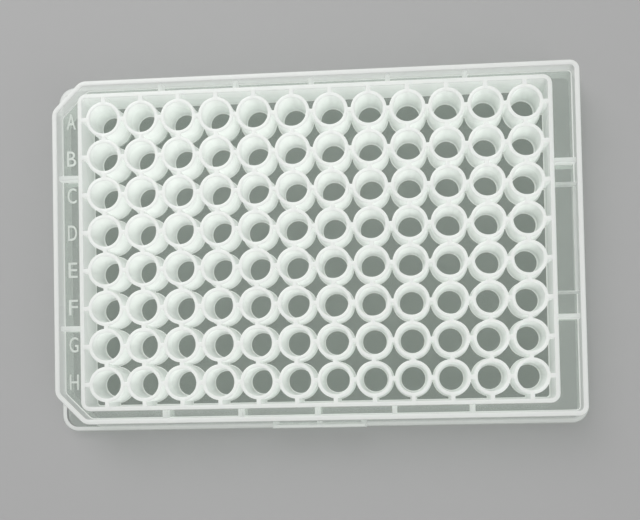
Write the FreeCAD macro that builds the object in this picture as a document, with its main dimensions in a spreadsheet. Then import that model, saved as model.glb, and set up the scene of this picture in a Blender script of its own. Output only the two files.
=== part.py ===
import FreeCAD, Part
import os
import Sketcher
from FreeCAD import Vector

# A microplate with 96 flat-bottomed wells, moulded in one piece from clear polystyrene. The wells
# stand in a walled block, a moat runs round the block, and a rim wall on a low flange closes it.
#
# Lengths are in millimetres. The origin is the centre of the footprint on the base plane, X runs
# from column 1 to column 12, Y runs from row H to row A and Z points up out of the wells.

NODE = "well_plate"

SIZES = (
    # The grid of wells.
    ("well_columns", 12),
    ("well_rows", 8),
    ("well_pitch", 9.0),
    ("plate_height", 14.35),
    # One well: a slightly tapered bore in a round tube with a flat floor.
    ("bore_mouth_radius", 3.35),
    ("bore_floor_radius", 3.175),
    ("bore_depth", 10.9),
    ("tube_wall", 0.85),
    ("well_floor", 1.2),
    # The block: webs tie the tubes to each other and to the block's own wall.
    ("web_thickness", 1.0),
    ("gap_depth", 10.2),
    ("gap_floor", 1.1),
    ("block_margin", 5.2),
    ("block_wall", 1.1),
    ("block_corner", 2.2),
    # The moat between the block and the rim wall.
    ("moat_side", 4.98),
    ("moat_front", 1.84),
    ("moat_depth", 4.6),
    ("moat_floor", 1.1),
    # The rim wall leans outwards on its way down, and two of its corners are cut off.
    ("rim_wall", 1.25),
    ("rim_draft", 2.0),
    ("rim_corner", 2.2),
    ("rim_chamfer", 7.0),
    ("chamfer_corner", 3.0),
    ("edge_radius", 0.3),
    # The flange that the plate stands on.
    ("flange_step", 1.85),
    ("flange_height", 2.45),
    ("flange_ledge", 1.2),
    ("flange_wall", 1.2),
    ("flange_corner", 4.1),
    # The ribs across the moat.
    ("rib_thickness", 1.1),
    ("rib_drop", 1.3),
    ("rib_foot", 4.35),
    ("front_ribs", 5),
    ("front_rib_wells", 2),
    ("side_ribs", 2),
    ("side_rib_wells", 4),
    # The grip on the front edge of the flange.
    ("grip_length", 22.2),
    ("grip_height", 7.6),
    ("grip_wall", 1.0),
    ("grip_gussets", 3),
    ("grip_gusset", 1.1),
    # The pen in the moat on the side of the last column: two thin cross walls and a kerb.
    ("pen_length", 25.4),
    ("pen_wall", 0.45),
    ("pen_drop", 0.3),
    ("kerb_width", 0.55),
    ("kerb_height", 1.0),
)

# Lengths that follow from the sizes above, as expressions on the sheet. A half length runs from
# the plate's centre line outwards.
GRID_LENGTH = "(Sizes.well_columns - 1) * Sizes.well_pitch"
GRID_WIDTH = "(Sizes.well_rows - 1) * Sizes.well_pitch"
TUBE_RADIUS = "Sizes.bore_mouth_radius + Sizes.tube_wall"
WELL_FOOT = "Sizes.plate_height - Sizes.bore_depth - Sizes.well_floor"
GAP_UNDERSIDE = "Sizes.plate_height - Sizes.gap_depth - Sizes.gap_floor"
MOAT_TOP = "Sizes.plate_height - Sizes.moat_depth"
MOAT_UNDERSIDE = f"{MOAT_TOP} - Sizes.moat_floor"
LEDGE_UNDERSIDE = "Sizes.flange_height - Sizes.flange_ledge"

CAVITY_X = f"{GRID_LENGTH} / 2 + Sizes.block_margin"
CAVITY_Y = f"{GRID_WIDTH} / 2 + Sizes.block_margin"
BLOCK_X = f"{CAVITY_X} + Sizes.block_wall"
BLOCK_Y = f"{CAVITY_Y} + Sizes.block_wall"
MOAT_X = f"{BLOCK_X} + Sizes.moat_side"
MOAT_Y = f"{BLOCK_Y} + Sizes.moat_front"
RIM_X = f"{MOAT_X} + Sizes.rim_wall"
RIM_Y = f"{MOAT_Y} + Sizes.rim_wall"
FLANGE_X = f"{RIM_X} + Sizes.flange_step"
FLANGE_Y = f"{RIM_Y} + Sizes.flange_step"


def make_sheet(doc):
    """The spreadsheet that holds the driving dimensions."""
    sheet = doc.addObject("Spreadsheet::Sheet", "Sizes")
    for row, (name, value) in enumerate(SIZES, start=1):
        sheet.set(f"A{row}", name)
        sheet.set(f"B{row}", str(value))
        sheet.setAlias(f"B{row}", name)
    doc.recompute()
    return sheet


def origin_feature(body, role):
    """One of the body's own planes or axes, such as XY_Plane."""
    return next(f for f in body.Origin.OriginFeatures if f.Role == role)


def evaluate(sketch, expression):
    """The value that an expression has now, to place new geometry near its final place."""
    return float(sketch.evalExpression(expression))


def bind(sketch, constraint, expression):
    """Add a constraint to a sketch and tie it to an expression."""
    name = f"size_{sketch.addConstraint(constraint)}"
    sketch.renameConstraint(sketch.ConstraintCount - 1, name)
    sketch.setExpression(f"Constraints.{name}", expression)


def new_sketch(body, name, level="0"):
    """A sketch on a horizontal plane at a level above the base plane."""
    sketch = body.newObject("Sketcher::SketchObject", name)
    sketch.AttachmentSupport = [(origin_feature(body, "XY_Plane"), "")]
    sketch.MapMode = "FlatFace"
    sketch.setExpression("AttachmentOffset.Base.z", level)
    return sketch


def place_point(sketch, element, end, x, y):
    """Tie one end of a sketch element to a place given by two expressions."""
    for direction, expression in (("DistanceX", x), ("DistanceY", y)):
        value = evaluate(sketch, expression)
        if value < 0:
            constraint = Sketcher.Constraint(direction, element, end, -1, 1, -value)
            bind(sketch, constraint, f"-({expression})")
        else:
            constraint = Sketcher.Constraint(direction, -1, 1, element, end, value)
            bind(sketch, constraint, expression)


def add_polygon(sketch, corners):
    """A closed outline through corners of (x, y) expressions. Returns its first line's index."""
    first = sketch.GeometryCount
    points = [Vector(evaluate(sketch, x), evaluate(sketch, y), 0) for x, y in corners]
    count = len(points)
    for index, point in enumerate(points):
        sketch.addGeometry(Part.LineSegment(point, points[(index + 1) % count]))
    for index in range(count):
        following = first + (index + 1) % count
        sketch.addConstraint(Sketcher.Constraint("Coincident", first + index, 2, following, 1))
    for index, (x, y) in enumerate(corners):
        place_point(sketch, first + index, 1, x, y)
    return first


def add_rectangle(sketch, left, right, front, back):
    """A rectangle between two places along X and two along Y."""
    add_polygon(sketch, ((left, front), (right, front), (right, back), (left, back)))


def round_corners(sketch, first, radii):
    """Round the corners of a polygon, each to its own radius, and keep its corner points."""
    for index, radius in enumerate(radii):
        arc = sketch.GeometryCount
        value = evaluate(sketch, radius)
        sketch.fillet(first + index, 1, value, True, True)
        bind(sketch, Sketcher.Constraint("Radius", arc, value), radius)


def rounded_outline(body, name, level, half_x, half_y, radius):
    """A centred rectangle with four round corners."""
    sketch = new_sketch(body, name, level)
    left, front = f"-({half_x})", f"-({half_y})"
    corners = ((left, front), (half_x, front), (half_x, half_y), (left, half_y))
    round_corners(sketch, add_polygon(sketch, corners), (radius,) * len(corners))
    return sketch


def rim_outline(body, name, level, inset):
    """The rim wall's outline, moved inwards by an inset from the wall's outer face."""
    sketch = new_sketch(body, name, level)
    half_x, half_y = f"{RIM_X} - ({inset})", f"{RIM_Y} - ({inset})"
    left, front = f"-({half_x})", f"-({half_y})"
    leg = f"(Sizes.rim_chamfer - (2 - sqrt(2)) * ({inset}))"
    cut_x, cut_y = f"{leg} - ({half_x})", f"{half_y} - {leg}"
    corners = (
        (cut_x, front), (half_x, front), (half_x, half_y),
        (cut_x, half_y), (left, cut_y), (left, f"-({cut_y})"),
    )
    cut = f"Sizes.chamfer_corner - ({inset})"
    square = f"Sizes.rim_corner - ({inset})"
    round_corners(sketch, add_polygon(sketch, corners), (cut, square, square, cut, cut, cut))
    return sketch


def pad(body, name, sketch, length, draft=None, downwards=False):
    """Material added along Z from a sketch. A draft makes the far end larger."""
    feature = body.newObject("PartDesign::Pad", name)
    feature.Profile = sketch
    feature.Reversed = downwards
    feature.setExpression("Length", length)
    if draft:
        feature.setExpression("TaperAngle", draft)
    return feature


def pocket(body, name, sketch, length, draft=None, upwards=False):
    """Material removed along Z from a sketch. A draft makes the far end larger."""
    feature = body.newObject("PartDesign::Pocket", name)
    feature.Profile = sketch
    feature.Reversed = upwards
    feature.setExpression("Length", length)
    if draft:
        feature.setExpression("TaperAngle", draft)
    return feature


def pattern(body, name, feature, axis, length, count):
    """Copies of a feature spread evenly over a length along X_Axis or Y_Axis."""
    row = body.newObject("PartDesign::LinearPattern", name)
    row.Originals = [feature]
    row.Direction = (origin_feature(body, axis), [""])
    row.setExpression("Length", length)
    row.setExpression("Occurrences", count)
    body.Tip = row
    return row


def primitive(doc, kind, name, place, **lengths):
    """A Part primitive with its place and its lengths tied to expressions."""
    item = doc.addObject(kind, name)
    for axis, expression in zip("xyz", place):
        item.setExpression(f"Placement.Base.{axis}", expression)
    for length, expression in lengths.items():
        item.setExpression(length, expression)
    return item


def make_flange_and_rim(body):
    """The flange and the drafted rim wall, both hollow right through."""
    outline = rounded_outline(body, "flange_outline", "0", FLANGE_X, FLANGE_Y, "Sizes.flange_corner")
    pad(body, "flange", outline, "Sizes.flange_height")
    outline = rim_outline(body, "rim_outline", "Sizes.plate_height", "0")
    height = f"Sizes.plate_height - ({LEDGE_UNDERSIDE})"
    pad(body, "rim", outline, height, "Sizes.rim_draft", downwards=True)
    outline = rim_outline(body, "hollow_outline", "Sizes.plate_height", "Sizes.rim_wall")
    pocket(body, "hollow", outline, "Sizes.plate_height", "Sizes.rim_draft")
    outline = rounded_outline(
        body, "skirt_outline", "0",
        f"{FLANGE_X} - Sizes.flange_wall", f"{FLANGE_Y} - Sizes.flange_wall",
        "Sizes.flange_corner - Sizes.flange_wall",
    )
    pocket(body, "skirt_hollow", outline, LEDGE_UNDERSIDE, upwards=True)


def make_moat_and_block(body):
    """The moat's floor, and the block's wall standing through it on the floor between the wells."""
    outline = rim_outline(body, "moat_outline", MOAT_UNDERSIDE, "Sizes.rim_wall / 2")
    pad(body, "moat_floor", outline, "Sizes.moat_floor")
    outline = rounded_outline(
        body, "block_outline", GAP_UNDERSIDE, BLOCK_X, BLOCK_Y, "Sizes.block_corner"
    )
    pad(body, "block", outline, "Sizes.gap_depth + Sizes.gap_floor")
    outline = rounded_outline(
        body, "cavity_outline", "Sizes.plate_height", CAVITY_X, CAVITY_Y,
        "Sizes.block_corner - Sizes.block_wall",
    )
    pocket(body, "cavity", outline, "Sizes.gap_depth")


def round_top_edges(doc, body):
    """Break the top edges of the rim wall and the outer top edge of the block."""
    doc.recompute()
    base = body.Tip
    top = evaluate(body, "Sizes.plate_height")
    inside_x = evaluate(body, f"{CAVITY_X} + Sizes.block_wall / 2")
    inside_y = evaluate(body, f"{CAVITY_Y} + Sizes.block_wall / 2")
    names = []
    for number, edge in enumerate(base.Shape.Edges, start=1):
        box = edge.BoundBox
        reach_x = max(abs(box.XMin), abs(box.XMax))
        reach_y = max(abs(box.YMin), abs(box.YMax))
        outside = reach_x > inside_x or reach_y > inside_y
        if abs(box.ZMin - top) < 1e-6 and outside:
            names.append(f"Edge{number}")
    edges = body.newObject("PartDesign::Fillet", "top_edges")
    edges.Base = (base, names)
    edges.setExpression("Radius", "Sizes.edge_radius")


def make_ribs(body):
    """The ribs that cross the moat, from below its floor to just under the rim."""
    height = "Sizes.plate_height - Sizes.rib_drop - Sizes.rib_foot"
    inner, outer = f"{BLOCK_Y} - Sizes.block_wall / 2", f"{MOAT_Y} + Sizes.rim_wall / 2"
    span = "(Sizes.front_ribs - 1) * Sizes.front_rib_wells * Sizes.well_pitch"
    left = f"-({span}) / 2 - Sizes.rib_thickness / 2"
    right = f"-({span}) / 2 + Sizes.rib_thickness / 2"
    sketch = new_sketch(body, "front_rib_outline", "Sizes.rib_foot")
    add_rectangle(sketch, left, right, f"-({outer})", f"-({inner})")
    add_rectangle(sketch, left, right, inner, outer)
    rib = pad(body, "front_rib", sketch, height)
    pattern(body, "front_ribs", rib, "X_Axis", span, "Sizes.front_ribs")

    inner, outer = f"{BLOCK_X} - Sizes.block_wall / 2", f"{MOAT_X} + Sizes.rim_wall / 2"
    span = "(Sizes.side_ribs - 1) * Sizes.side_rib_wells * Sizes.well_pitch"
    front = f"-({span}) / 2 - Sizes.rib_thickness / 2"
    back = f"-({span}) / 2 + Sizes.rib_thickness / 2"
    sketch = new_sketch(body, "side_rib_outline", "Sizes.rib_foot")
    add_rectangle(sketch, f"-({outer})", f"-({inner})", front, back)
    add_rectangle(sketch, inner, outer, front, back)
    rib = pad(body, "side_rib", sketch, height)
    pattern(body, "side_ribs", rib, "Y_Axis", span, "Sizes.side_ribs")


def make_pen(body):
    """The two thin cross walls in the moat beside the last column, and the kerb between them."""
    inner, outer = f"{BLOCK_X} - Sizes.block_wall / 2", f"{MOAT_X} + Sizes.rim_wall / 2"
    middle = f"{MOAT_TOP} - Sizes.moat_floor / 2"
    sketch = new_sketch(body, "pen_outline", middle)
    add_rectangle(sketch, inner, outer, "-Sizes.pen_length / 2", "Sizes.pen_wall - Sizes.pen_length / 2")
    add_rectangle(sketch, inner, outer, "Sizes.pen_length / 2 - Sizes.pen_wall", "Sizes.pen_length / 2")
    pad(body, "pen", sketch, "Sizes.moat_depth + Sizes.moat_floor / 2 - Sizes.pen_drop")
    sketch = new_sketch(body, "kerb_outline", middle)
    front = "Sizes.pen_wall / 2 - Sizes.pen_length / 2"
    add_rectangle(sketch, f"{MOAT_X} - Sizes.kerb_width", outer, front, f"-({front})")
    pad(body, "kerb", sketch, "Sizes.kerb_height + Sizes.moat_floor / 2")


def make_grip(body):
    """The upright wall on the flange's front edge, tied to the rim wall by gussets."""
    foot = f"{LEDGE_UNDERSIDE} + Sizes.flange_ledge / 2"
    height = f"Sizes.grip_height - ({foot})"
    sketch = new_sketch(body, "grip_outline", foot)
    left, right = "-Sizes.grip_length / 2", "Sizes.grip_length / 2"
    add_rectangle(sketch, left, right, f"-({FLANGE_Y})", f"Sizes.grip_wall - ({FLANGE_Y})")
    pad(body, "grip", sketch, height)
    sketch = new_sketch(body, "gusset_outline", foot)
    front, back = f"Sizes.grip_wall / 2 - ({FLANGE_Y})", f"-({MOAT_Y}) - Sizes.rim_wall / 2"
    add_rectangle(sketch, left, f"{left} + Sizes.grip_gusset", front, back)
    gusset = pad(body, "gusset", sketch, height)
    span = "Sizes.grip_length - Sizes.grip_gusset"
    pattern(body, "gussets", gusset, "X_Axis", span, "Sizes.grip_gussets")


def column_place(column):
    """Where a column's wells stand along X. Column 0 is the first."""
    return f"{column} * Sizes.well_pitch - {GRID_LENGTH} / 2"


def row_place(row):
    """Where a row's wells stand along Y. Row 0 is row A."""
    return f"{GRID_WIDTH} / 2 - {row} * Sizes.well_pitch"


def make_webs(doc, rows, columns):
    """The webs along every row and every column, let into the block's wall at both ends."""
    half = "Sizes.web_thickness / 2"
    height = "Sizes.gap_depth + Sizes.gap_floor"
    end_x, end_y = f"{CAVITY_X} + Sizes.block_wall / 2", f"{CAVITY_Y} + Sizes.block_wall / 2"
    webs = []
    for row in range(rows):
        place = (f"-({end_x})", f"{row_place(row)} - {half}", GAP_UNDERSIDE)
        webs.append(primitive(
            doc, "Part::Box", f"row_web_{row + 1}", place,
            Length=f"2 * ({end_x})", Width="Sizes.web_thickness", Height=height,
        ))
    for column in range(columns):
        place = (f"{column_place(column)} - {half}", f"-({end_y})", GAP_UNDERSIDE)
        webs.append(primitive(
            doc, "Part::Box", f"column_web_{column + 1}", place,
            Length="Sizes.web_thickness", Width=f"2 * ({end_y})", Height=height,
        ))
    return webs


def make_wells(doc, rows, columns):
    """The tubes with their floors, and the tapered bores that are cut into them."""
    bore_foot = "Sizes.plate_height - Sizes.bore_depth"
    tubes, bores = [], []
    for row in range(rows):
        for column in range(columns):
            well = f"{row + 1}_{column + 1}"
            x, y = column_place(column), row_place(row)
            tubes.append(primitive(
                doc, "Part::Cylinder", f"tube_{well}", (x, y, WELL_FOOT),
                Radius=TUBE_RADIUS, Height="Sizes.bore_depth + Sizes.well_floor",
            ))
            bores.append(primitive(
                doc, "Part::Cone", f"bore_{well}", (x, y, bore_foot),
                Radius1="Sizes.bore_floor_radius", Radius2="Sizes.bore_mouth_radius",
                Height="Sizes.bore_depth",
            ))
    return tubes, bores


def make_plate(doc, frame, webs, tubes, bores):
    """The finished plate: everything that is solid joined together, less the bores."""
    blank = doc.addObject("Part::MultiFuse", "blank")
    blank.Shapes = [frame] + webs + tubes
    blank.Refine = True
    drilling = doc.addObject("Part::Compound", "drilling")
    drilling.Links = bores
    plate = doc.addObject("Part::Cut", NODE)
    plate.Label = NODE
    plate.Base = blank
    plate.Tool = drilling
    plate.Placement = FreeCAD.Placement()
    return plate


def check(doc, plate):
    """Stop if an object of the document failed or the finished shape isn't one sound solid."""
    for item in doc.Objects:
        if "Invalid" in item.State or "Error" in item.State:
            raise RuntimeError(f"{item.Name} failed: {item.State}")
    shape = plate.Shape
    if shape.isNull() or not shape.isValid() or len(shape.Solids) != 1:
        raise RuntimeError(f"{plate.Label} is not one valid solid")


def main():
    doc = FreeCAD.newDocument("plate")
    sheet = make_sheet(doc)
    rows, columns = int(sheet.well_rows), int(sheet.well_columns)
    frame = doc.addObject("PartDesign::Body", "frame")
    make_flange_and_rim(frame)
    make_moat_and_block(frame)
    round_top_edges(doc, frame)
    make_ribs(frame)
    make_pen(frame)
    make_grip(frame)
    webs = make_webs(doc, rows, columns)
    tubes, bores = make_wells(doc, rows, columns)
    plate = make_plate(doc, frame, webs, tubes, bores)
    doc.recompute()
    check(doc, plate)
    os.makedirs("parts", exist_ok=True)
    plate.Shape.exportStep(os.path.join("parts", f"{plate.Label}.step"))
    box = plate.Shape.BoundBox
    print(f"{plate.Label}: {box.XLength:.2f} x {box.YLength:.2f} x {box.ZLength:.2f} mm")
    print(f"volume {plate.Shape.Volume:.0f} cubic mm, {len(plate.Shape.Faces)} faces")


main()
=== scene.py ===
"""A 96-well plate, moulded in one piece, dressed around its packed frame and laid out as an add-on."""
from math import asin, cos, hypot, pi, radians, sin, sqrt, tan

import bmesh
import bpy
from mathutils import Matrix, Vector


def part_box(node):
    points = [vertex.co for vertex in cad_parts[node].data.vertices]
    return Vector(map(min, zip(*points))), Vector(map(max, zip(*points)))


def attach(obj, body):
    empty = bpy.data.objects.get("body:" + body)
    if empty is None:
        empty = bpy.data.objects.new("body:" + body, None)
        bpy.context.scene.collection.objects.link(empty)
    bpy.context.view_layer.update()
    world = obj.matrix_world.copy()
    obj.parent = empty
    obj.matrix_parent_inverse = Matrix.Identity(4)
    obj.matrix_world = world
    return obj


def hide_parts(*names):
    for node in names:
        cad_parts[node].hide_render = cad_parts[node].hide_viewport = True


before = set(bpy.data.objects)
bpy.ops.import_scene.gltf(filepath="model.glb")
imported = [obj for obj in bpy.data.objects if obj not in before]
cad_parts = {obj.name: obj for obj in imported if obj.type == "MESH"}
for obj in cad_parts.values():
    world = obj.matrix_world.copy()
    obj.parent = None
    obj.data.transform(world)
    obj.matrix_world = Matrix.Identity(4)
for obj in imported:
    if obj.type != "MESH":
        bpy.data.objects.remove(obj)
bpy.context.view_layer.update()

bl_info = {
    "name": "Well Plate",
    "version": (1, 0, 0),
    "blender": (4, 5, 0),
    "location": "View3D > Sidebar > Well Plate",
    "description": "Models a moulded 96-well plate, its finish and its studio",
    "category": "Object",
}

NODE = "well_plate"
BODY = "root"
PLATE = "moulded_plate"
LETTERS = "row_letters"
FINISH = "milky_clear_plastic"
CLEAR = "clearness"
# The faces with a painted highlight: the top faces, the flange's band and the fillets round the
# floors, tinted lighter than the walls.
PAINTED_HIGHLIGHT = "painted_highlight_mask"

MM = 0.001
WELD = 0.002 * MM
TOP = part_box(NODE)[1][2]

# A quarter of a well is turned in this many steps, and a corner of the frame in this many. A
# fitting's rounded edge has this many facets, and a letter's curves this many steps.
QUARTER_STEPS = 12
CORNER_STEPS = 9
ROUND_STEPS = 2
LETTER_STEPS = 4

# A face is level where its normal's share along Z is over LEVEL, and upright where it is under
# UPRIGHT. It looks along X or Y where its normal's share along that axis is over FACING.
LEVEL = 0.99
UPRIGHT = 0.5
FACING = 0.3
# Halfway round a corner, a wall's facets stand back from its straight run by just under this
# share of the corner's radius.
CORNER_SAG = 1 / 3
# Edges that bend more than this stay sharp, and large faces set the shading of small ones.
SHARP = radians(50)
LARGE_FACES = 100

# Ribs stand this many pitches apart: along the front and the back there is one in the middle and
# this many on each side of it.
RIB_PITCHES = 2
SIDE_RIBS = 2

# The finish drifts softly in patches: how small and how plain they are, and how much they change
# its tint and its roughness.
CLOUD_SCALE = 45.0
CLOUD_DETAIL = 1.0
CLOUD_TINT = 0.3
CLOUD_GLOSS = 0.2
REFRACTION = 1.5
WHITE = (1.0, 1.0, 1.0, 1.0)

# The studio: half the floor's width, how dull it is, the lamps' widths, the camera's sensor in
# millimetres and its range, and the clear faces that light may cross for each time it scatters.
FLOOR_REACH = 3.0
FLOOR_ROUGHNESS = 0.9
FLOOR_SHEEN = 0.1
KEY_WIDTH = 0.5
FILL_WIDTH = 0.4
SENSOR_WIDTH = 36.0
NEAREST, FARTHEST = 0.01, 10.0
CLEAR_LAYERS = 4


def length(name, description, millimetres):
    """A property for a length, given in millimetres."""
    return bpy.props.FloatProperty(
        name=name, description=description, default=millimetres * MM,
        min=0.0, precision=5, unit="LENGTH", subtype="DISTANCE",
    )


def colour(name, description, red, green, blue):
    """A property for a colour, given in linear red, green and blue."""
    return bpy.props.FloatVectorProperty(
        name=name, description=description, default=(red, green, blue),
        min=0.0, max=1.0, size=3, subtype="COLOR",
    )


def share(name, description, default, highest=1.0):
    """A property for a plain share or strength."""
    return bpy.props.FloatProperty(
        name=name, description=description, default=default, min=0.0, max=highest,
    )


class WellSizes(bpy.types.PropertyGroup):
    """The grid of wells and the webs between them."""

    columns: bpy.props.IntProperty(name="Columns", description="Wells in a row", default=12, min=2)
    rows: bpy.props.IntProperty(name="Rows", description="Wells in a column", default=8, min=2)
    pitch: length("Pitch", "From one well's axis to the next", 9.0)
    mouth: length("Mouth radius", "Radius of a bore at its mouth", 3.35)
    floor: length("Floor radius", "Radius of a bore at its floor", 3.175)
    depth: length("Depth", "From the mouth down to the floor", 10.9)
    wall: length("Tube wall", "Thickness of a tube at its mouth", 0.85)
    base: length("Well floor", "Thickness of a well's floor", 1.2)
    web: length("Web", "Thickness of the webs between tubes", 1.0)
    gap: length("Gap depth", "From the mouths down to the floor between the tubes", 10.2)
    gap_base: length("Gap floor", "Thickness of the floor between the tubes", 1.1)
    lip: length("Lip radius", "Rounding of the tubes' and webs' top edges", 0.12)
    mouth_lip: length("Mouth rounding", "Rounding of a bore's mouth", 0.15)
    fillet: length("Well fillet", "Fillet round a well's floor", 0.35)
    gap_fillet: length("Gap fillet", "Fillet round the floor between the tubes", 0.3)
    foot_round: length("Foot rounding", "Rounding of a well's foot", 0.15)


class FrameSizes(bpy.types.PropertyGroup):
    """The block's wall, the moat, the rim wall and the flange."""

    margin: length("Block margin", "From the outer wells' axes to the block's wall", 5.2)
    block_wall: length("Block wall", "Thickness of the block's wall", 1.1)
    block_corner: length("Block corner", "Radius of the block's corners", 2.2)
    moat_side: length("Moat at the sides", "Width of the moat beside the columns", 4.98)
    moat_front: length("Moat at the front", "Width of the moat beside the rows", 1.84)
    moat_depth: length("Moat depth", "From the rim down to the moat's floor", 4.6)
    moat_base: length("Moat floor", "Thickness of the moat's floor", 1.1)
    moat_fillet: length("Moat fillet", "Fillet along both sides of the moat", 0.35)
    rim_wall: length("Rim wall", "Thickness of the rim wall", 1.25)
    rim_corner: length("Rim corner", "Radius of the rim's square corners", 2.2)
    chamfer: length("Cut corner", "Length that a cut corner takes off each side", 7.0)
    cut_corner: length("Cut corner's radius", "Radius at each end of a cut corner", 3.0)
    edge: length("Edge radius", "Rounding of the rim's and the block's top edges", 0.3)
    draft: bpy.props.FloatProperty(
        name="Draft", description="Lean of the rim wall", default=radians(2.0),
        min=0.0, subtype="ANGLE", unit="ROTATION",
    )
    step: length("Flange step", "From the rim's top edge out to the flange", 1.85)
    flange: length("Flange height", "Height of the flange", 2.45)
    ledge: length("Flange ledge", "Thickness of the flange's ledge", 1.2)
    skirt: length("Flange wall", "Thickness of the flange's wall", 1.2)
    band: length("Flange band", "Width of the flange's solid band over its wall", 1.1)
    flange_corner: length("Flange corner", "Radius of the flange's corners", 4.1)
    sole: length("Sole rounding", "Rounding of the edges that face the table", 0.2)


class FittingSizes(bpy.types.PropertyGroup):
    """The ribs, the pen, the grip and the row letters."""

    bed: length("Bed", "How far a fitting is let into the block's wall", 0.2)
    rib: length("Rib", "Thickness of a rib across the moat", 1.1)
    rib_drop: length("Rib drop", "From the rim down to a rib's top", 1.3)
    rib_foot: length("Rib foot", "Height of the ribs' feet above the table", 4.35)
    rib_round: length("Rib rounding", "Rounding of the ribs' top edges", 0.2)
    pen: length("Pen length", "Length of the pen beside the last column", 25.4)
    pen_wall: length("Pen wall", "Thickness of the pen's cross walls", 0.45)
    pen_drop: length("Pen drop", "From the rim down to the pen's walls", 0.3)
    kerb: length("Kerb width", "Width of the kerb along the rim wall", 0.55)
    kerb_height: length("Kerb height", "Height of the kerb above the moat's floor", 1.0)
    thin_round: length("Thin rounding", "Rounding of the pen's and kerb's edges", 0.1)
    grip: length("Grip length", "Length of the grip on the front of the flange", 22.2)
    grip_height: length("Grip height", "Height of the grip above the table", 7.6)
    grip_wall: length("Grip wall", "Thickness of the grip's wall", 1.0)
    gusset: length("Gusset", "Thickness of the grip's gussets", 1.1)
    grip_round: length("Grip rounding", "Rounding of the grip's top edges", 0.25)
    letter_height: length("Letter height", "Height of a row letter", 3.7)
    letter_width: length("Letter width", "Width of a row letter", 2.15)
    letter_relief: length("Letter relief", "How far the letters stand up", 0.25)
    letter_lift: length("Letter offset", "From a row's axis to its letter's middle", 0.75)
    letter_inset: length("Letter inset", "From the block's wall to the letters' middle", 2.8)


class FinishValues(bpy.types.PropertyGroup):
    """The look of the plastic."""

    # The tops' lighter colour is a painted highlight and the walls' darker colour a painted shade of
    # the same plastic.
    tint: colour("Plastic", "Colour of the plastic seen from above", 0.975, 0.985, 0.97)
    wall_painted_shade: colour("Wall tint", "Colour of the upright walls", 0.94, 0.955, 0.943)
    window: colour("Window", "Colour of what is seen through a thin floor", 0.78, 0.812, 0.788)
    wall_body: share("Wall body", "How solid the walls look", 0.93)
    floor_clear: share("Floor clearness", "How clear the floors of the wells and gaps are", 0.88)
    moat_clear: share("Moat clearness", "How clear the moat's floor is", 0.78)
    ledge_clear: share("Ledge clearness", "How clear the flange's ledge is", 0.72)
    wall_clear: share("Wall clearness", "How clear the frame's inner walls are", 0.34)
    deep_clear: share("Deep clearness", "How clear inner walls are below the moat's floor", 0.0)
    outer_clear: share("Outer clearness", "How clear the walls that look outwards are", 0.6)
    pen_clear: share("Pen clearness", "How clear the pen's thin walls are", 0.5)
    mark_body: share("Mark body", "How solid the raised letters look", 0.75)
    shade: share("Shade", "How much of its body a wall shows to the light that passes it", 0.10)
    milk: share("Milkiness", "How much light scatters through the walls", 0.66)
    milk_top: share("Milkiness from above", "How much light scatters through the top faces", 0.35)
    gloss: share("Roughness", "Roughness of the moulded faces", 0.28)


class StageValues(bpy.types.PropertyGroup):
    """The studio round the plate."""

    floor: colour("Floor", "Colour of the floor", 0.43, 0.43, 0.43)
    sky: share("Sky", "Strength of the even light from all round", 0.55, 10.0)
    key: bpy.props.FloatProperty(
        name="Key light", description="Power of the large lamp", default=3.05, min=0.0, unit="POWER",
    )
    fill: bpy.props.FloatProperty(
        name="Fill light", description="Power of the small lamp", default=0.8, min=0.0, unit="POWER",
    )
    key_place: bpy.props.FloatVectorProperty(
        name="Key light's place", description="Where the large lamp hangs", size=3,
        default=(-0.25, 0.45, 0.6), subtype="TRANSLATION", unit="LENGTH",
    )
    fill_place: bpy.props.FloatVectorProperty(
        name="Fill light's place", description="Where the small lamp hangs", size=3,
        default=(0.5, -0.4, 0.5), subtype="TRANSLATION", unit="LENGTH",
    )
    bounces: bpy.props.IntProperty(
        name="Bounces", description="How often light may scatter between the walls", default=8, min=1,
    )
    place: bpy.props.FloatVectorProperty(
        name="Camera place", description="Where the camera stands", size=3,
        default=(0.02180, -0.03526, 0.27994), subtype="TRANSLATION", unit="LENGTH",
    )
    turn: bpy.props.FloatVectorProperty(
        name="Camera turn", description="How the camera is turned from looking straight down",
        default=(radians(1.920), radians(5.147), radians(-1.124)), subtype="EULER", size=3,
    )
    lens: bpy.props.FloatProperty(
        name="Lens", description="Focal length in millimetres on a 36 mm wide sensor",
        default=64.66, min=1.0, unit="CAMERA",
    )
    shift: bpy.props.FloatVectorProperty(
        name="Lens shift", description="Shift of the lens along the picture's sides", size=2,
        default=(0.02, 0.15),
    )


def sizes():
    """The three groups of sizes."""
    scene = bpy.context.scene
    return scene.plate_wells, scene.plate_frame, scene.plate_fittings


# ---------------------------------------------------------------- outlines


def rounding(radius):
    """The three points of a rounded edge: (set back from the face, down from the top)."""
    half = radius * (1 - sqrt(0.5))
    return ((radius, 0.0), (half, half), (0.0, radius))


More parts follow.
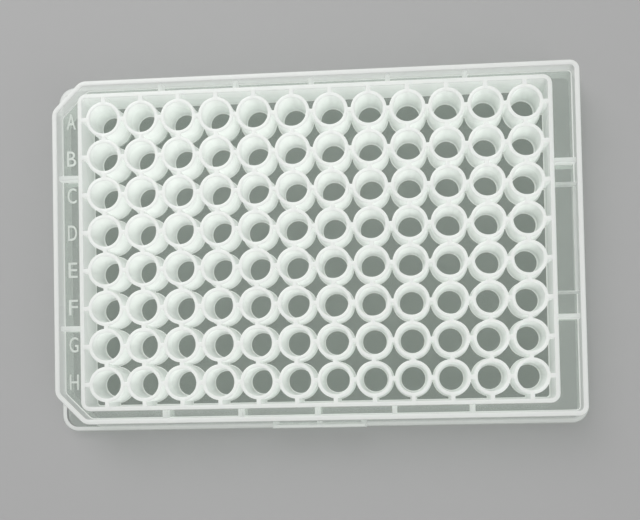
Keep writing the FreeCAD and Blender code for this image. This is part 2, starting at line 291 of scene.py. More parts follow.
class Outline:
    """A rectangle with round corners. Two of them may be cut off, on the side of column 1."""

    def __init__(self, half_x, half_y, radius, chamfer=0.0, cut_radius=0.0):
        self.half_x, self.half_y, self.radius = half_x, half_y, radius
        self.chamfer, self.cut_radius = chamfer, cut_radius

    def point(self, station, offset, z):
        """Where a station lies on this outline, moved outwards by an offset."""
        kind, side_x, side_y, place = station
        if kind == "x":
            return Vector((side_x * (self.half_x + offset), place, z))
        if kind == "y":
            return Vector((place, side_y * (self.half_y + offset), z))
        step = place
        if self.chamfer and side_x < 0:
            half_turn = CORNER_STEPS // 2
            second = step > half_turn
            turn = radians(45) * ((step - 1 if second else step) / half_turn)
            radius = self.cut_radius
            tangent = radius * tan(radians(22.5))
            if second:
                centre = (self.half_x - self.chamfer - tangent, self.half_y - radius)
            else:
                centre = (self.half_x - radius, self.half_y - self.chamfer - tangent)
        else:
            turn = radians(90) * step / CORNER_STEPS
            radius = self.radius
            centre = (self.half_x - radius, self.half_y - radius)
        reach = radius + offset
        return Vector((
            side_x * (centre[0] + reach * cos(turn)), side_y * (centre[1] + reach * sin(turn)), z,
        ))

    def holds(self, x, y, offset):
        """Whether a place lies inside this outline, moved outwards by an offset, cuts left out."""
        radius = self.radius + offset
        past_x, past_y = abs(x) - self.half_x + self.radius, abs(y) - self.half_y + self.radius
        if past_x > 0 and past_y > 0:
            return hypot(past_x, past_y) < radius
        return max(past_x, past_y) < radius


def field_half(wells):
    """Half the distance between the outer wells' axes, along X and along Y."""
    return (wells.columns - 1) * wells.pitch / 2, (wells.rows - 1) * wells.pitch / 2


def outlines():
    """The outlines of the block, of the rim wall at its top and of the flange."""
    wells, walls, _ = sizes()
    half_x, half_y = field_half(wells)
    block_x = half_x + walls.margin + walls.block_wall
    block_y = half_y + walls.margin + walls.block_wall
    rim_x = block_x + walls.moat_side + walls.rim_wall
    rim_y = block_y + walls.moat_front + walls.rim_wall
    block = Outline(block_x, block_y, walls.block_corner)
    rim = Outline(rim_x, rim_y, walls.rim_corner, walls.chamfer, walls.cut_corner)
    flange = Outline(rim_x + walls.step, rim_y + walls.step, walls.flange_corner)
    return block, rim, flange


def side_stations(kind, side_x, side_y, count, wells):
    """The stations along one side: both edges and the middle of each web, and between wells."""
    first = -(count - 1) * wells.pitch / 2
    half = wells.web / 2 - wells.lip
    places = []
    for number in range(count):
        middle = first + number * wells.pitch
        places += [middle - half, middle, middle + half]
        if number < count - 1:
            places.append(middle + wells.pitch / 2)
    return [(kind, side_x, side_y, place) for place in places]


def stations(wells):
    """The stations all round the frame, anticlockwise from the side of the last column."""
    right = side_stations("x", 1, 0, wells.rows, wells)
    back = side_stations("y", 0, 1, wells.columns, wells)
    left = side_stations("x", -1, 0, wells.rows, wells)
    front = side_stations("y", 0, -1, wells.columns, wells)

    def corner(side_x, side_y):
        return [("corner", side_x, side_y, step) for step in range(CORNER_STEPS + 1)]

    return (
        right + corner(1, 1) + back[::-1] + corner(-1, 1)[::-1]
        + left[::-1] + corner(-1, -1) + front + corner(1, -1)[::-1]
    )


# ---------------------------------------------------------------- mesh tools


def neighbours(chain, closed=False):
    """The pairs of vertices that follow each other in a chain."""
    return list(zip(chain, chain[1:])) + ([(chain[-1], chain[0])] if closed else [])


def extrude_chain(mesh, chain, places, closed=False):
    """Extrude a chain of vertices to new places. Returns the new chain."""
    edges = [mesh.edges.get(pair) for pair in neighbours(chain, closed)]
    made = bmesh.ops.extrude_edge_only(mesh, edges=edges)
    fresh = {item for item in made["geom"] if isinstance(item, bmesh.types.BMVert)}
    following = []
    for vert, place in zip(chain, places):
        ends = (edge.other_vert(vert) for edge in vert.link_edges)
        new = next(end for end in ends if end in fresh)
        new.co = place
        following.append(new)
    return following


def new_chain(mesh, places, closed=False):
    """A chain of vertices joined by edges."""
    chain = [mesh.verts.new(place) for place in places]
    for pair in neighbours(chain, closed):
        mesh.edges.new(pair)
    return chain


def turned_quarter(mesh, profile):
    """Spin a profile of (radius, height) points through a quarter turn. Returns its outer chain."""
    chain = new_chain(mesh, [(radius, 0, height) for radius, height in profile])
    edges = [mesh.edges.get(pair) for pair in neighbours(chain)]
    bmesh.ops.spin(
        mesh, geom=chain + edges, cent=(0, 0, 0), axis=(0, 0, 1), dvec=(0, 0, 0),
        angle=radians(90), steps=QUARTER_STEPS, use_merge=False, use_duplicate=False,
    )
    radius, height = profile[-1]
    outer = [
        vert for vert in mesh.verts
        if abs(vert.co.z - height) < WELD and abs(vert.co.xy.length - radius) < WELD
    ]
    return sorted(outer, key=lambda vert: vert.co.y - vert.co.x)


def box(mesh, low, high):
    """A closed box between two corners. Returns its vertices."""
    verts = bmesh.ops.create_cube(mesh, size=1.0)["verts"]
    span = [b - a for a, b in zip(low, high)]
    middle = [(a + b) / 2 for a, b in zip(low, high)]
    bmesh.ops.scale(mesh, vec=span, verts=verts)
    bmesh.ops.translate(mesh, vec=middle, verts=verts)
    return verts


def rounded_box(mesh, low, high, radius):
    """A box whose top edges are rounded."""
    verts = set(box(mesh, low, high))
    top = max(vert.co.z for vert in verts)
    edges = [
        edge for edge in mesh.edges
        if set(edge.verts) <= verts and all(abs(vert.co.z - top) < WELD for vert in edge.verts)
    ]
    bmesh.ops.bevel(
        mesh, geom=edges, offset=radius, offset_type="OFFSET", affect="EDGES",
        segments=ROUND_STEPS, profile=0.5, material=-1,
    )


def finish_mesh(mesh, name):
    """Turn a bmesh into a mesh datablock. Its faces are put in the same order at each run."""
    ranked = sorted(mesh.faces, key=lambda face: tuple(face.calc_center_median()))
    for rank, face in enumerate(ranked):
        face.index = rank
    mesh.faces.sort()
    data = bpy.data.meshes.new(name)
    mesh.to_mesh(data)
    mesh.free()
    return data


def place_object(data, name):
    """An object at the origin for a mesh, linked to the scene."""
    item = bpy.data.objects.new(name, data)
    bpy.context.scene.collection.objects.link(item)
    return item


# ---------------------------------------------------------------- the field of wells


def tube_quarter(wells, reach, wall_x, wall_y, inset):
    """The outline of a tube between its two webs' ends in one quarter, drawn in by an inset."""
    half = wells.web / 2 - inset
    radius = wells.mouth + wells.wall - inset
    start = asin(half / radius)
    far_x = reach + inset if wall_x else wells.pitch / 2
    far_y = reach + inset if wall_y else wells.pitch / 2
    steps = QUARTER_STEPS - 2
    turns = [start + (pi / 2 - 2 * start) * step / steps for step in range(steps + 1)]
    arc = [(radius * cos(turn), radius * sin(turn)) for turn in turns]
    return [(far_x, half)] + arc + [(half, far_y)]


def wall_points(wells, walls, wall_x, wall_y, offset):
    """The points of the block's wall in a quarter, from the row web's end to the column web's."""
    reach = walls.margin + offset
    half = wells.pitch / 2
    if wall_x and wall_y:
        centre = walls.margin - (walls.block_corner - walls.block_wall)
        radius = reach - centre
        turns = [radians(90) * step / CORNER_STEPS for step in range(CORNER_STEPS + 1)]
        return [(centre + radius * cos(turn), centre + radius * sin(turn)) for turn in turns]
    return [(reach if wall_x else half, reach if wall_y else half)]


def quarter_mesh(wells, walls, wall_x, wall_y):
    """A quarter of a well with its share of the gap, the floor and the underside, at the origin."""
    mesh = bmesh.new()
    bore_floor, gap_floor = TOP - wells.depth, TOP - wells.gap
    lip = rounding(wells.mouth_lip)
    fillet = rounding(wells.fillet)
    profile = [(0.0, bore_floor)]
    profile += [(wells.floor - back, bore_floor + up) for back, up in fillet]
    profile += [(wells.mouth + back, TOP - down) for back, down in reversed(lip)]
    mouth = turned_quarter(mesh, profile)

    def level(inset, z):
        points = tube_quarter(wells, walls.margin, wall_x, wall_y, inset)
        wall = wall_points(wells, walls, wall_x, wall_y, inset)
        if wall_x and wall_y:
            path = points + wall[::-1]
        elif wall_x:
            path = wall + points
        elif wall_y:
            path = points + wall
        else:
            path = points
        return (
            [Vector((x, y, z)) for x, y in points], [Vector((x, y, z)) for x, y in path],
            [Vector((x, y, z)) for x, y in wall],
        )

    points, _, wall = level(wells.lip, TOP)
    ring = points[1:-1]
    ends = [Vector((ring[0].x, 0, TOP)), Vector((0, ring[-1].y, TOP))]
    land = extrude_chain(mesh, mouth, [ends[0], *ring, ends[1]])
    row_web = extrude_chain(mesh, land[:2], [Vector((points[0].x, 0, TOP)), points[0]])
    column_web = extrude_chain(mesh, land[-2:], [points[-1], Vector((0, points[-1].y, TOP))])
    chain = [row_web[1], *land[1:-1], column_web[0]]
    added = [mesh.verts.new(place) for place in wall] if wall_x or wall_y else []
    if wall_x and wall_y:
        chain = chain + added[::-1]
    elif wall_x:
        chain = added + chain
    elif wall_y:
        chain = chain + added
    closed = wall_x and wall_y
    for pair in neighbours(chain, closed):
        if not mesh.edges.get(pair):
            mesh.edges.new(pair)
    lower = [(inset, TOP - down) for inset, down in rounding(wells.lip)[1:]]
    lower += [(-back, gap_floor + up) for back, up in reversed(rounding(wells.gap_fillet))]
    for inset, z in lower:
        chain = extrude_chain(mesh, chain, level(inset, z)[1], closed)
    if wall_x or wall_y:
        mesh.faces.new(chain)
    else:
        corner = mesh.verts.new((wells.pitch / 2, wells.pitch / 2, gap_floor))
        mesh.faces.new(chain + [corner])

    foot, underside = TOP - wells.depth - wells.base, TOP - wells.gap - wells.gap_base
    tube = wells.mouth + wells.wall
    profile = [(0.0, foot)]
    profile += [(tube - back, foot + up) for back, up in rounding(wells.foot_round)]
    profile += [(tube, underside)]
    ankle = turned_quarter(mesh, profile)
    half = wells.web / 2 - wells.lip
    offset = walls.block_wall - walls.sole
    reach = walls.margin + offset
    far_x = reach if wall_x else wells.pitch / 2
    far_y = reach if wall_y else wells.pitch / 2
    border = [(0.0, far_y)] + ([(half, far_y)] if wall_y else [])
    border += wall_points(wells, walls, wall_x, wall_y, offset)[::-1]
    border += ([(far_x, half)] if wall_x else []) + [(far_x, 0.0)]
    mesh.faces.new(ankle + [mesh.verts.new((x, y, underside)) for x, y in border])
    return finish_mesh(mesh, f"quarter_{int(wall_x)}{int(wall_y)}")


def add_wells(mesh, wells, walls):
    """Lay out the quarters of every well, mirrored into place."""
    quarters = {
        (wall_x, wall_y): quarter_mesh(wells, walls, wall_x, wall_y)
        for wall_x in (False, True) for wall_y in (False, True)
    }
    half_x, half_y = field_half(wells)
    for column in range(wells.columns):
        for row in range(wells.rows):
            x, y = column * wells.pitch - half_x, row * wells.pitch - half_y
            for side_x in (-1, 1):
                for side_y in (-1, 1):
                    wall_x = column == (wells.columns - 1 if side_x > 0 else 0)
                    wall_y = row == (wells.rows - 1 if side_y > 0 else 0)
                    quarter = quarters[wall_x, wall_y].copy()
                    place = Matrix.Translation((x, y, 0)) @ Matrix.Diagonal((side_x, side_y, 1, 1))
                    quarter.transform(place)
                    mesh.from_mesh(quarter)
                    bpy.data.meshes.remove(quarter)
    for quarter in quarters.values():
        bpy.data.meshes.remove(quarter)


# ---------------------------------------------------------------- the frame


def frame_section(wells, walls, block, rim, flange):
    """The frame's section, from the block's top face out, down and back in underneath.

    Each step is an outline, an offset outwards from it and a height."""
    moat_top, moat_under = TOP - walls.moat_depth, TOP - walls.moat_depth - walls.moat_base
    ledge_under = walls.flange - walls.ledge
    underside = TOP - wells.gap - wells.gap_base

    def lean(z):
        return (TOP - z) * tan(walls.draft)

    section = [(block, wells.lip - walls.block_wall, TOP)]
    section += [(block, -back, TOP - down) for back, down in rounding(walls.edge)]
    fillet = rounding(walls.moat_fillet)
    section += [(block, back, moat_top + up) for back, up in reversed(fillet)]
    inner = -walls.rim_wall
    section += [(rim, inner + lean(moat_top + up) - back, moat_top + up) for back, up in fillet]
    edge = rounding(walls.edge)
    section += [(rim, inner + back + lean(TOP - down), TOP - down) for back, down in reversed(edge)]
    section += [(rim, lean(TOP - down) - back, TOP - down) for back, down in edge]
    section += [
        (rim, lean(walls.flange + up) + back, walls.flange + up) for back, up in reversed(edge)
    ]
    section += [(flange, -walls.band, walls.flange)]
    section += [(flange, -back, walls.flange - down) for back, down in edge]
    sole = rounding(walls.sole)
    section += [(flange, -back, up) for back, up in reversed(sole)]
    section += [(flange, back - walls.skirt, up) for back, up in sole]
    section += [(flange, -walls.skirt, ledge_under)]
    section += [(rim, inner + lean(ledge_under), ledge_under)]
    section += [(rim, inner + lean(moat_under), moat_under)]
    section += [(block, 0.0, moat_under)]
    section += [(block, -back, underside + up) for back, up in reversed(sole)]
    return section


def add_frame(mesh, wells, walls):
    """Extrude the frame's loop of stations along its section, and on to where it began.

    The last faces close the frame on the side of the wells, until the wells take their place."""
    ring = stations(wells)
    section = frame_section(wells, walls, *outlines())
    outline, offset, z = section[0]
    chain = new_chain(mesh, [outline.point(station, offset, z) for station in ring], closed=True)
    for outline, offset, z in section[1:] + section[:1]:
        places = [outline.point(station, offset, z) for station in ring]
        chain = extrude_chain(mesh, chain, places, closed=True)
    bmesh.ops.remove_doubles(mesh, verts=mesh.verts, dist=WELD)
    bmesh.ops.recalc_face_normals(mesh, faces=mesh.faces)


def open_frame(mesh, wells):
    """Take away the faces that close the frame on the side of the wells."""
    underside = TOP - wells.gap - wells.gap_base
    closing = [
        face for face in mesh.faces
        if max(vert.co.z for vert in face.verts) - min(vert.co.z for vert in face.verts)
        > TOP - underside - WELD and min(vert.co.z for vert in face.verts) > underside - WELD
    ]
    bmesh.ops.delete(mesh, geom=closing, context="FACES")


# ---------------------------------------------------------------- the fittings


def add_ribs(mesh, wells, walls, fittings, block, rim):
    """The ribs across the moat."""
    half = fittings.rib / 2
    low, high = fittings.rib_foot, TOP - fittings.rib_drop
    inner, outer = block.half_y - fittings.bed, rim.half_y - walls.rim_wall / 2
    spacing = RIB_PITCHES * wells.pitch
    for number in range(-SIDE_RIBS, SIDE_RIBS + 1):
        x = number * spacing
        for near, far in ((-outer, -inner), (inner, outer)):
            rounded_box(mesh, (x - half, near, low), (x + half, far, high), fittings.rib_round)
    inner, outer = block.half_x - fittings.bed, rim.half_x - walls.rim_wall / 2
    for y in (-spacing, spacing):
        for near, far in ((-outer, -inner), (inner, outer)):
            rounded_box(mesh, (near, y - half, low), (far, y + half, high), fittings.rib_round)


def add_pen_walls(mesh, walls, fittings, block, rim):
    """The two thin walls that cross the moat beside the last column."""
    inner, outer = block.half_x - fittings.bed, rim.half_x - walls.rim_wall / 2
    low, high = TOP - walls.moat_depth - walls.moat_base / 2, TOP - fittings.pen_drop
    half, thin = fittings.pen / 2, fittings.thin_round
    rounded_box(mesh, (inner, -half, low), (outer, fittings.pen_wall - half, high), thin)
    rounded_box(mesh, (inner, half - fittings.pen_wall, low), (outer, half, high), thin)


def add_kerb(mesh, walls, fittings, rim):
    """The kerb along the rim wall, from one of the pen's walls to the other."""
    moat_top = TOP - walls.moat_depth
    middle = (fittings.pen - fittings.pen_wall) / 2
    inner, outer = rim.half_x - walls.rim_wall - fittings.kerb, rim.half_x - walls.rim_wall / 2
    low, high = moat_top - walls.moat_base / 2, moat_top + fittings.kerb_height
    rounded_box(mesh, (inner, -middle, low), (outer, middle, high), fittings.thin_round)


def add_grip_wall(mesh, walls, fittings, flange):
    """The grip's upright wall on the front of the flange."""
    low, high = walls.flange - walls.ledge / 2, fittings.grip_height
    half, front = fittings.grip / 2, -flange.half_y
    back = front + fittings.grip_wall
    rounded_box(mesh, (-half, front, low), (half, back, high), fittings.grip_round)


def add_gussets(mesh, walls, fittings, rim, flange):
    """The three gussets that tie the grip to the rim wall."""
    low, high = walls.flange - walls.ledge / 2, fittings.grip_height - fittings.grip_round / 2
    half, near = fittings.grip / 2, fittings.grip_wall / 2 - flange.half_y
    far = walls.rim_wall / 2 - rim.half_y
    for x in (-half, -fittings.gusset / 2, half - fittings.gusset):
        rounded_box(mesh, (x, near, low), (x + fittings.gusset, far, high), fittings.rib_round)


def unite(body, mesh):
    """Join the closed shapes in a bmesh to a body, so that they are one closed shell."""
    extra = place_object(finish_mesh(mesh, "addition"), "addition")
    union = body.modifiers.new("union", "BOOLEAN")
    union.operation = "UNION"
    union.solver = "EXACT"
    union.object = extra
    graph = bpy.context.evaluated_depsgraph_get()
    joined = bpy.data.meshes.new_from_object(body.evaluated_get(graph))
    body.modifiers.clear()
    old = body.data
    body.data = joined
    bpy.data.meshes.remove(old)
    bpy.data.meshes.remove(extra.data)


def add_letter(mesh, letter, x, y, floor, fittings):
    """A raised capital letter on the moat's floor, upright as seen from the front.

    It is made one unit deep, and then brought to its size and place."""
    text = bpy.data.curves.new(letter, "FONT")
    text.body = letter
    text.size = 1.0
    text.extrude = 0.5
    text.resolution_u = LETTER_STEPS
    item = place_object(text, letter)
    graph = bpy.context.evaluated_depsgraph_get()
    solid = bpy.data.meshes.new_from_object(item.evaluated_get(graph))
    bpy.data.objects.remove(item)
    bpy.data.curves.remove(text)
    corners = [vert.co for vert in solid.vertices]
    low = Vector(min(co[axis] for co in corners) for axis in range(3))
    high = Vector(max(co[axis] for co in corners) for axis in range(3))
    bed = fittings.bed / 2
    scale = Matrix.Diagonal((
        fittings.letter_width / (high.x - low.x), fittings.letter_height / (high.y - low.y),
        fittings.letter_relief + bed, 1,
    ))
    middle = Vector((x, y, floor + (fittings.letter_relief - bed) / 2))
    solid.transform(Matrix.Translation(middle) @ scale @ Matrix.Translation(-(low + high) / 2))
    mesh.from_mesh(solid)
    bpy.data.meshes.remove(solid)


# ---------------------------------------------------------------- finish


# The places of a Mix node's colour sockets, because its sockets of all kinds share their names.
MIX_COLOURS = {"A": 6, "B": 7}
MIX_RESULT = 2


class Tree:
    """A small helper that adds nodes to a tree and joins them up."""

    def __init__(self, tree):
        self.tree = tree
        tree.nodes.clear()

    def add(self, kind, inputs=(), **settings):
        """A new node. inputs are (socket, value or the socket that feeds it)."""
        node = self.tree.nodes.new(kind)
        for key, value in settings.items():
            setattr(node, key, value)
        for key, value in inputs:
            mixed = kind == "ShaderNodeMix" and key in MIX_COLOURS
            socket = node.inputs[MIX_COLOURS[key] if mixed else key]
            if isinstance(value, bpy.types.NodeSocket):
                self.tree.links.new(value, socket)
            else:
                socket.default_value = value
        return node

    def math(self, operation, *values, clamp=False):
        """The result of a Math node."""
        inputs = list(enumerate(values))
        return self.add("ShaderNodeMath", inputs, operation=operation, use_clamp=clamp).outputs[0]

    def mix(self, factor, first, second):
        """The result of mixing two colours."""
        inputs = [("Factor", factor), ("A", first), ("B", second)]
        return self.add("ShaderNodeMix", inputs, data_type="RGBA").outputs[MIX_RESULT]


def wall_clearness(face, wells, walls, finish):
    """How clear a face is that may belong to an upright wall of the frame."""
    half_x, half_y = field_half(wells)
    sag = (walls.block_corner - walls.block_wall) * CORNER_SAG
    beyond_x = abs(face.center.x) > half_x + walls.margin - sag
    beyond_y = abs(face.center.y) > half_y + walls.margin - sag
    across_x, across_y = abs(face.normal.x) > FACING, abs(face.normal.y) > FACING
    upright = abs(face.normal.z) < UPRIGHT
    if not (upright and ((beyond_x and across_x) or (beyond_y and across_y))):
        return 0.0
    outwards = face.center.x * face.normal.x + face.center.y * face.normal.y > 0
    if outwards:
        return finish.outer_clear
    return finish.wall_clear if face.center.z > TOP - walls.moat_depth else finish.deep_clear


def on_pen(x, y, walls, fittings, block, rim):
    """Whether a place lies on one of the pen's cross walls."""
    in_moat = block.half_x + WELD < x < rim.half_x - walls.rim_wall - WELD
    half = fittings.pen / 2 + WELD
    return in_moat and half - fittings.pen_wall - 2 * WELD < abs(y) < half


def mark_faces(data, finish):
    """Store how clear each face is and whether it gets the painted highlight.

    Thin floors are the clearest, with the fillet at the block's foot, and the frame's upright
    walls and the pen's walls are clear in part. Top faces, the flange's band and the fillets round
    the floors get the painted highlight, a lighter tint than the walls, whose darker tint is painted
    shade."""
    wells, walls, fittings = sizes()
    block, rim, flange = outlines()
    bore, gap, moat = TOP - wells.depth, TOP - wells.gap, TOP - walls.moat_depth
    floors = [
        (bore, finish.floor_clear), (bore - wells.base, finish.floor_clear),
        (gap, finish.floor_clear), (gap - wells.gap_base, finish.floor_clear),
        (moat, finish.moat_clear), (moat - walls.moat_base, finish.moat_clear),
        (walls.flange, finish.ledge_clear), (walls.flange - walls.ledge, finish.ledge_clear),
    ]
    # Heights where faces get the painted highlight: the top edges, and the fillets round the floors,
    # painted as bright lines.
    bands = [
        (TOP - walls.edge, TOP + 2 * WELD), (bore, bore + wells.fillet),
        (gap, gap + wells.gap_fillet), (moat, moat + walls.moat_fillet),
    ]
    clear, painted_highlight = [], []
    for face in data.polygons:
        x, y, height = face.center
        level = abs(face.normal.z) > LEVEL
        on_band = level and height > walls.flange - WELD and not flange.holds(x, y, -walls.band)
        near = [share for z, share in floors if abs(z - height) < WELD]
        if near and level:
            clear.append(0.0 if on_band else near[0])
        elif moat < height < moat + walls.moat_fillet and block.holds(x, y, walls.moat_fillet):
            clear.append(finish.moat_clear)
        elif height > moat and on_pen(x, y, walls, fittings, block, rim):
            clear.append(finish.pen_clear)
        else:
            clear.append(wall_clearness(face, wells, walls, finish))
        # The flange's band and the faces in these bands of height get the painted highlight.
        painted_highlight.append(float(on_band or any(low + WELD < height < high for low, high in bands)))
    for name, values in ((CLEAR, clear), (PAINTED_HIGHLIGHT, painted_highlight)):
        attribute = data.attributes.get(name) or data.attributes.new(name, "FLOAT", "FACE")
        attribute.data.foreach_set("value", values)


def plastic(finish, name, raised=False):
    """Milky clear plastic: thin floors let the light through, walls and their tops look white.

    The top faces and the floor fillets take a lighter tint, a painted highlight, and the walls a
    darker tint, a painted shade. Raised marks are frosted all over, more solid and with the lighter,
    painted-highlight tint, so that they stand out from the floor that they are on."""
    material = bpy.data.materials.new(name)
    material.use_nodes = True
    tree = Tree(material.node_tree)
    place = tree.add("ShaderNodeTexCoord").outputs["Object"]
    window = (*finish.window, 1.0)
    if raised:
        # Raised letters take the painted highlight all over.
        painted_highlight, body = 1.0, finish.mark_body
    else:
        painted_highlight = tree.add("ShaderNodeAttribute", attribute_name=PAINTED_HIGHLIGHT).outputs["Fac"]
        clear = tree.add("ShaderNodeAttribute", attribute_name=CLEAR).outputs["Fac"]
        solid = tree.math("SUBTRACT", 1.0, clear)
        body = tree.math("MULTIPLY", solid, finish.wall_body)
        window = tree.mix(clear, WHITE, window)
    passing = tree.add("ShaderNodeLightPath").outputs["Is Shadow Ray"]
    let_by = tree.math("MULTIPLY_ADD", passing, finish.shade - 1.0, 1.0)
    body = tree.math("MULTIPLY", body, let_by)
    cloud = tree.add("ShaderNodeTexNoise", [
        ("Vector", place), ("Scale", CLOUD_SCALE), ("Detail", CLOUD_DETAIL),
    ]).outputs["Fac"]
    # Faces with the painted highlight take the lighter tint; the others take the walls' darker tint, a
    # painted shade, lightened a little in soft random clouds.
    cloud_and_highlight = tree.math("MULTIPLY_ADD", cloud, CLOUD_TINT, painted_highlight, clamp=True)
    tint = tree.mix(cloud_and_highlight, (*finish.wall_painted_shade, 1.0), (*finish.tint, 1.0))
    rough = tree.math("MULTIPLY_ADD", cloud, CLOUD_GLOSS, finish.gloss - CLOUD_GLOSS / 2)
    # Faces with the painted highlight also let less light scatter through, so they stay brighter.
    scatter = tree.math("MULTIPLY_ADD", painted_highlight, finish.milk_top - finish.milk, finish.milk)
    skin = tree.add("ShaderNodeBsdfPrincipled", [
        ("Base Color", tint), ("Roughness", rough), ("IOR", REFRACTION),
    ]).outputs[0]
    glow = tree.add("ShaderNodeBsdfTranslucent", [("Color", tint)]).outputs[0]
    milk = tree.add("ShaderNodeMixShader", [(0, scatter), (1, skin), (2, glow)]).outputs[0]
    through = tree.add("ShaderNodeBsdfTransparent", [("Color", window)]).outputs[0]
    shader = tree.add("ShaderNodeMixShader", [(0, body), (1, through), (2, milk)]).outputs[0]
    tree.add("ShaderNodeOutputMaterial", [("Surface", shader)])
    return material


# ---------------------------------------------------------------- stage


def set_floor(stage):
    """A wide plain floor."""
    mesh = bmesh.new()
    bmesh.ops.create_grid(mesh, x_segments=1, y_segments=1, size=FLOOR_REACH)
    floor = place_object(finish_mesh(mesh, "floor"), "floor")
    material = bpy.data.materials.new("plain_floor")
    material.use_nodes = True
    tree = Tree(material.node_tree)
    shader = tree.add("ShaderNodeBsdfPrincipled", [
        ("Base Color", (*stage.floor, 1.0)), ("Roughness", FLOOR_ROUGHNESS),
        ("Specular IOR Level", FLOOR_SHEEN),
    ])
    tree.add("ShaderNodeOutputMaterial", [("Surface", shader.outputs[0])])
    floor.data.materials.append(material)


def area_light(name, width, power, place):
    """A square lamp that faces the origin."""
    data = bpy.data.lights.new(name, "AREA")
    data.size = width
    data.energy = power
    lamp = place_object(data, name)
    place = Vector(place)
    turn = (-place).to_track_quat("-Z", "Y").to_matrix().to_4x4()
    lamp.matrix_world = Matrix.Translation(place) @ turn


def set_lights(stage):
    """Even light from all round, a large lamp behind and a small one in front."""
    world = bpy.data.worlds.new("sky")
    world.use_nodes = True
    tree = Tree(world.node_tree)
    sky = tree.add("ShaderNodeBackground", [("Color", WHITE), ("Strength", stage.sky)])
    tree.add("ShaderNodeOutputWorld", [("Surface", sky.outputs[0])])
    bpy.context.scene.world = world
    area_light("key_light", KEY_WIDTH, stage.key, stage.key_place)
    area_light("fill_light", FILL_WIDTH, stage.fill, stage.fill_place)


def set_camera(stage):
    """A camera above the plate, a little to the right and to the front."""
    data = bpy.data.cameras.new("camera")
    camera = place_object(data, "camera")
    data.sensor_fit, data.sensor_width = "HORIZONTAL", SENSOR_WIDTH
    data.lens = stage.lens
    data.shift_x, data.shift_y = stage.shift
    data.clip_start, data.clip_end = NEAREST, FARTHEST
    camera.location, camera.rotation_euler = stage.place, stage.turn
    bpy.context.scene.camera = camera


# ---------------------------------------------------------------- operators


class PLATE_OT_frame(bpy.types.Operator):
    """Model the block's wall, the moat, the rim wall and the flange"""

    bl_idname = "plate.frame"
    bl_label = "Model the Frame"

    def execute(self, context):
        wells, walls, _ = sizes()
        mesh = bmesh.new()
        add_frame(mesh, wells, walls)
        place_object(finish_mesh(mesh, PLATE), PLATE)
        return {"FINISHED"}


class PLATE_OT_fittings(bpy.types.Operator):
    """Join the ribs, the pen and the grip to the frame"""

    bl_idname = "plate.fittings"
    bl_label = "Add Ribs, Pen and Grip"

    def execute(self, context):
        wells, walls, fittings = sizes()
        block, rim, flange = outlines()
        plate = bpy.data.objects[PLATE]
        mesh = bmesh.new()
        add_ribs(mesh, wells, walls, fittings, block, rim)
        add_pen_walls(mesh, walls, fittings, block, rim)
        add_grip_wall(mesh, walls, fittings, flange)
        unite(plate, mesh)
        mesh = bmesh.new()
        add_kerb(mesh, walls, fittings, rim)
        add_gussets(mesh, walls, fittings, rim, flange)
        unite(plate, mesh)
        return {"FINISHED"}


class PLATE_OT_wells(bpy.types.Operator):
    """Model the wells and weld them into the frame"""

    bl_idname = "plate.wells"
    bl_label = "Model the Wells"

    def execute(self, context):
        wells, walls, _ = sizes()
        plate = bpy.data.objects[PLATE]
        mesh = bmesh.new()
        mesh.from_mesh(plate.data)
        open_frame(mesh, wells)
        add_wells(mesh, wells, walls)
        bmesh.ops.remove_doubles(mesh, verts=mesh.verts, dist=WELD)
        bmesh.ops.recalc_face_normals(mesh, faces=mesh.faces)
        mesh.to_mesh(plate.data)
        mesh.free()
        plate.data.name = PLATE
        plate.data.shade_smooth()
        plate.data.set_sharp_from_angle(angle=SHARP)
        normals = plate.modifiers.new("face_normals", "WEIGHTED_NORMAL")
        normals.mode = "FACE_AREA"
        normals.weight = LARGE_FACES
        normals.keep_sharp = True
        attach(plate, BODY)
        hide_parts(NODE)
        return {"FINISHED"}


class PLATE_OT_letters(bpy.types.Operator):
    """Raise the row letters on the moat's floor"""

    bl_idname = "plate.letters"
    bl_label = "Raise the Row Letters"

    def execute(self, context):
        wells, walls, fittings = sizes()
        block = outlines()[0]
        mesh = bmesh.new()
        for row in range(wells.rows):
            y = field_half(wells)[1] - row * wells.pitch + fittings.letter_lift
            x = -block.half_x - fittings.letter_inset
            add_letter(mesh, chr(ord("A") + row), x, y, TOP - walls.moat_depth, fittings)
        bmesh.ops.remove_doubles(mesh, verts=mesh.verts, dist=WELD / 2)
        letters = place_object(finish_mesh(mesh, LETTERS), LETTERS)
        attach(letters, BODY)
        return {"FINISHED"}


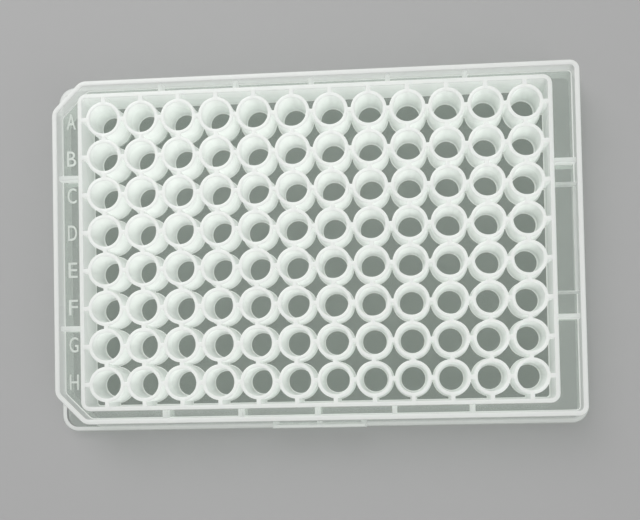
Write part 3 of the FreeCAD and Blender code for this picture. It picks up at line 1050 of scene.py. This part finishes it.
class PLATE_OT_finish(bpy.types.Operator):
    """Give the plate its milky clear plastic"""

    bl_idname = "plate.finish"
    bl_label = "Finish the Plastic"

    def execute(self, context):
        finish = context.scene.plate_finish
        mark_faces(bpy.data.objects[PLATE].data, finish)
        for name, raised in ((PLATE, False), (LETTERS, True)):
            slots = bpy.data.objects[name].data.materials
            slots.clear()
            slots.append(plastic(finish, f"{FINISH}_{name}", raised))
        return {"FINISHED"}


class PLATE_OT_stage(bpy.types.Operator):
    """Set the floor, the lamps, the sky and the camera"""

    bl_idname = "plate.stage"
    bl_label = "Set the Stage"

    def execute(self, context):
        stage = context.scene.plate_stage
        set_floor(stage)
        set_lights(stage)
        set_camera(stage)
        context.scene.view_settings.view_transform = "Standard"
        context.scene.cycles.diffuse_bounces = stage.bounces
        context.scene.cycles.transparent_max_bounces = CLEAR_LAYERS * stage.bounces
        return {"FINISHED"}


class PLATE_PT_panel(bpy.types.Panel):
    """The plate's operators and values"""

    bl_label = "Well Plate"
    bl_idname = "PLATE_PT_panel"
    bl_space_type = "VIEW_3D"
    bl_region_type = "UI"
    bl_category = "Well Plate"

    def draw(self, context):
        for operator in OPERATORS:
            self.layout.operator(operator.bl_idname)
        for name, group in GROUPS.items():
            column = self.layout.column(align=True)
            column.label(text=group.__doc__)
            for key in group.__annotations__:
                column.prop(getattr(context.scene, name), key)


GROUPS = {
    "plate_wells": WellSizes, "plate_frame": FrameSizes, "plate_fittings": FittingSizes,
    "plate_finish": FinishValues, "plate_stage": StageValues,
}
OPERATORS = (
    PLATE_OT_frame, PLATE_OT_fittings, PLATE_OT_wells, PLATE_OT_letters, PLATE_OT_finish,
    PLATE_OT_stage,
)
CLASSES = tuple(GROUPS.values()) + OPERATORS + (PLATE_PT_panel,)


def register():
    """Register the classes and hang their values on the scene."""
    for item in CLASSES:
        bpy.utils.register_class(item)
    for name, group in GROUPS.items():
        setattr(bpy.types.Scene, name, bpy.props.PointerProperty(type=group))


def unregister():
    """Take the values and the classes away again."""
    for name in GROUPS:
        delattr(bpy.types.Scene, name)
    for item in reversed(CLASSES):
        bpy.utils.unregister_class(item)


def main():
    """Model, finish and stage the plate."""
    register()
    bpy.ops.plate.frame()
    bpy.ops.plate.fittings()
    bpy.ops.plate.wells()
    bpy.ops.plate.letters()
    bpy.ops.plate.finish()
    bpy.ops.plate.stage()


if __name__ == "__main__":
    main()
